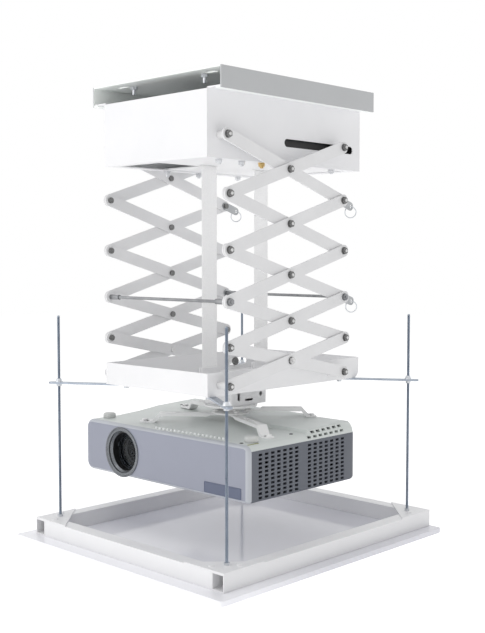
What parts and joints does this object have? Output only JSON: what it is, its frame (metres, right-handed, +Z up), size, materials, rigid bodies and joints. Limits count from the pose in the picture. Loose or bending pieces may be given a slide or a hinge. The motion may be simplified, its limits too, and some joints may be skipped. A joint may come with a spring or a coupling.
{
  "type": "projector lift",
  "caption": "Motorised ceiling lift: a folded channel and housing, scissor stages on both sides, belts, a tray, a tilting mount with a projector, and a framed closure panel on threaded rods.",
  "frame": {"origin": "middle of the ceiling plate's upper face, at the middle of its four slots", "axes": "+Z up towards the ceiling, -Y to the front with the lens, +X to the side with the vent panel"},
  "size_m": [0.5, 0.542, 0.7639],
  "materials": {
    "white_steel": "satin",
    "bar_paint": "satin",
    "zinc": "satin",
    "pivot_steel": "satin",
    "tie_steel": "satin",
    "belt_web": "matte",
    "motor_paint": "satin",
    "control_case": "matte",
    "panel_laminate": "gloss",
    "case_plastic": "satin",
    "vent_plastic": "matte",
    "lens_black": "matte",
    "lens_trim": "satin",
    "front_glass": "gloss",
    "foot_rubber": "matte"
  },
  "bodies": {
    "housing": {"ceiling_plate": "white_steel", "plate_bolts": "pivot_steel", "housing_front_panel": "white_steel", "housing_rear_panel": "white_steel", "housing_left_panel": "white_steel", "housing_right_panel": "white_steel", "chassis_plate": "white_steel", "chassis_screws": "zinc", "motor_brackets": "zinc", "tubular_motor": "motor_paint", "control_box": "control_case", "upper_pivot_bolts": "pivot_steel", "front_belt": "belt_web", "rear_belt": "belt_web"},
    "drum": {"belt_drum": "zinc"},
    "platform": {"tray": "white_steel", "lower_pivot_bolts": "pivot_steel", "belt_clamps": "white_steel", "neck_box": "white_steel", "corner_arms": "zinc", "threaded_rods": "zinc", "rod_nuts": "zinc", "side_rails": "white_steel", "cross_rails": "white_steel", "corner_gussets": "white_steel", "closure_panel": "panel_laminate"},
    "mount_swivel": {"mount_hub": "white_steel"},
    "projector": {"mount_arms": "white_steel", "projector_case": "case_plastic", "vent_grille": "vent_plastic", "lens_barrel": "lens_black", "lens_glass": "front_glass"},
    "focus": {"focus_ring": "lens_trim"},
    "left_foot_screw": {"left_foot": "foot_rubber"},
    "right_foot_screw": {"right_foot": "foot_rubber"},
    "upper_ring_pair": {"upper_rings": "zinc"},
    "lower_ring_pair": {"lower_rings": "zinc"},
    "level_1": {"level_1_bolts": "pivot_steel"},
    "level_2": {"level_2_bolts": "pivot_steel"},
    "level_3": {"near_tie_rod": "tie_steel"},
    "level_4": {"level_4_bolts": "pivot_steel"},
    "falling_1": {"falling_bars_1": "bar_paint", "stage_1_bolts": "pivot_steel", "upper_ring_tabs": "tie_steel"},
    "rising_1": {"rising_bars_1": "bar_paint", "upper_slide_pins": "pivot_steel"},
    "falling_2": {"falling_bars_2": "bar_paint", "stage_2_bolts": "pivot_steel"},
    "rising_2": {"rising_bars_2": "bar_paint"},
    "falling_3": {"falling_bars_3": "bar_paint", "stage_3_bolts": "pivot_steel", "lower_ring_tabs": "tie_steel", "far_tie_rod": "tie_steel"},
    "rising_3": {"rising_bars_3": "bar_paint"},
    "falling_4": {"falling_bars_4": "bar_paint", "stage_4_bolts": "pivot_steel"},
    "rising_4": {"rising_bars_4": "bar_paint"},
    "falling_5": {"falling_bars_5": "bar_paint", "stage_5_bolts": "pivot_steel"},
    "rising_5": {"rising_bars_5": "bar_paint"}
  },
  "joints": [
    {"name": "lift", "type": "slide", "parent": "housing", "child": "platform", "axis": [0, 0, 1], "range_m": [0, 0.27], "deforming": ["front_belt", "rear_belt"]},
    {"name": "level_1_rise", "type": "slide", "parent": "housing", "child": "level_1", "axis": [0, 0, 1], "range_m": [0, 0.06665]},
    {"name": "level_2_rise", "type": "slide", "parent": "housing", "child": "level_2", "axis": [0, 0, 1], "range_m": [0, 0.12934]},
    {"name": "level_3_rise", "type": "slide", "parent": "housing", "child": "level_3", "axis": [0, 0, 1], "range_m": [0, 0.18568]},
    {"name": "level_4_rise", "type": "slide", "parent": "housing", "child": "level_4", "axis": [0, 0, 1], "range_m": [0, 0.23291]},
    {"name": "falling_1_fold", "type": "hinge", "parent": "housing", "child": "falling_1", "pos_m": [0, -0.1605, -0.0983], "axis": [1, 0, 0], "range_deg": [0, 13.59]},
    {"name": "rising_1_fold", "type": "hinge", "parent": "level_1", "child": "rising_1", "pos_m": [0, -0.1605, -0.18695], "axis": [1, 0, 0], "range_deg": [-13.59, 0]},
    {"name": "falling_2_fold", "type": "hinge", "parent": "level_1", "child": "falling_2", "pos_m": [0, -0.1605, -0.18695], "axis": [1, 0, 0], "range_deg": [0, 12.77]},
    {"name": "rising_2_fold", "type": "hinge", "parent": "level_2", "child": "rising_2", "pos_m": [0, -0.1605, -0.27168], "axis": [1, 0, 0], "range_deg": [-12.77, 0]},
    {"name": "falling_3_fold", "type": "hinge", "parent": "level_2", "child": "falling_3", "pos_m": [0, -0.1605, -0.27168], "axis": [1, 0, 0], "range_deg": [0, 11.45]},
    {"name": "rising_3_fold", "type": "hinge", "parent": "level_3", "child": "rising_3", "pos_m": [0, -0.1605, -0.35005], "axis": [1, 0, 0], "range_deg": [-11.45, 0]},
    {"name": "falling_4_fold", "type": "hinge", "parent": "level_3", "child": "falling_4", "pos_m": [0, -0.1605, -0.35005], "axis": [1, 0, 0], "range_deg": [0, 9.57]},
    {"name": "rising_4_fold", "type": "hinge", "parent": "level_4", "child": "rising_4", "pos_m": [0, -0.1605, -0.41931], "axis": [1, 0, 0], "range_deg": [-9.57, 0]},
    {"name": "falling_5_fold", "type": "hinge", "parent": "level_4", "child": "falling_5", "pos_m": [0, -0.1605, -0.41931], "axis": [1, 0, 0], "range_deg": [0, 7.5]},
    {"name": "rising_5_fold", "type": "hinge", "parent": "platform", "child": "rising_5", "pos_m": [0, -0.1605, -0.47847], "axis": [1, 0, 0], "range_deg": [-7.5, 0]},
    {"name": "drum_wind", "type": "hinge", "parent": "housing", "child": "drum", "pos_m": [-0.027, 0, -0.082], "axis": [0, 1, 0], "range_deg": [-573.1, 0]},
    {"name": "swivel", "type": "hinge", "parent": "platform", "child": "mount_swivel", "pos_m": [0, -0.012, -0.53337], "axis": [0, 0, 1], "range_deg": [-20, 20]},
    {"name": "tilt", "type": "hinge", "parent": "mount_swivel", "child": "projector", "pos_m": [0, -0.012, -0.54157], "axis": [1, 0, 0], "range_deg": [-6, 6]},
    {"name": "focus_turn", "type": "hinge", "parent": "projector", "child": "focus", "pos_m": [-0.119, -0.155, -0.61417], "axis": [0, 1, 0], "range_deg": [-60, 60]},
    {"name": "left_foot_travel", "type": "slide", "parent": "projector", "child": "left_foot_screw", "axis": [0, 0, 1], "range_m": [0, 0.006]},
    {"name": "right_foot_travel", "type": "slide", "parent": "projector", "child": "right_foot_screw", "axis": [0, 0, 1], "range_m": [0, 0.006]},
    {"name": "upper_rings_swing", "type": "hinge", "parent": "falling_1", "child": "upper_ring_pair", "pos_m": [0, 0.14121, -0.19622], "axis": [1, 0, 0], "range_deg": [-40, 40]},
    {"name": "lower_rings_swing", "type": "hinge", "parent": "falling_3", "child": "lower_ring_pair", "pos_m": [0, 0.14466, -0.35824], "axis": [1, 0, 0], "range_deg": [-40, 40]}
  ],
  "couplings": [
    {"joint": "level_1_rise", "follows": "lift", "ratio": 0.24674},
    {"joint": "level_2_rise", "follows": "lift", "ratio": 0.47894},
    {"joint": "level_3_rise", "follows": "lift", "ratio": 0.6876},
    {"joint": "level_4_rise", "follows": "lift", "ratio": 0.86252},
    {"joint": "falling_1_fold", "follows": "lift", "rad_per_m": 0.87784},
    {"joint": "rising_1_fold", "follows": "lift", "rad_per_m": -0.87784},
    {"joint": "falling_2_fold", "follows": "lift", "rad_per_m": 0.8247},
    {"joint": "rising_2_fold", "follows": "lift", "rad_per_m": -0.8247},
    {"joint": "falling_3_fold", "follows": "lift", "rad_per_m": 0.73925},
    {"joint": "rising_3_fold", "follows": "lift", "rad_per_m": -0.73925},
    {"joint": "falling_4_fold", "follows": "lift", "rad_per_m": 0.61766},
    {"joint": "rising_4_fold", "follows": "lift", "rad_per_m": -0.61766},
    {"joint": "falling_5_fold", "follows": "lift", "rad_per_m": 0.48391},
    {"joint": "rising_5_fold", "follows": "lift", "rad_per_m": -0.48391},
    {"joint": "drum_wind", "follows": "lift", "rad_per_m": -37.037}
  ]
}
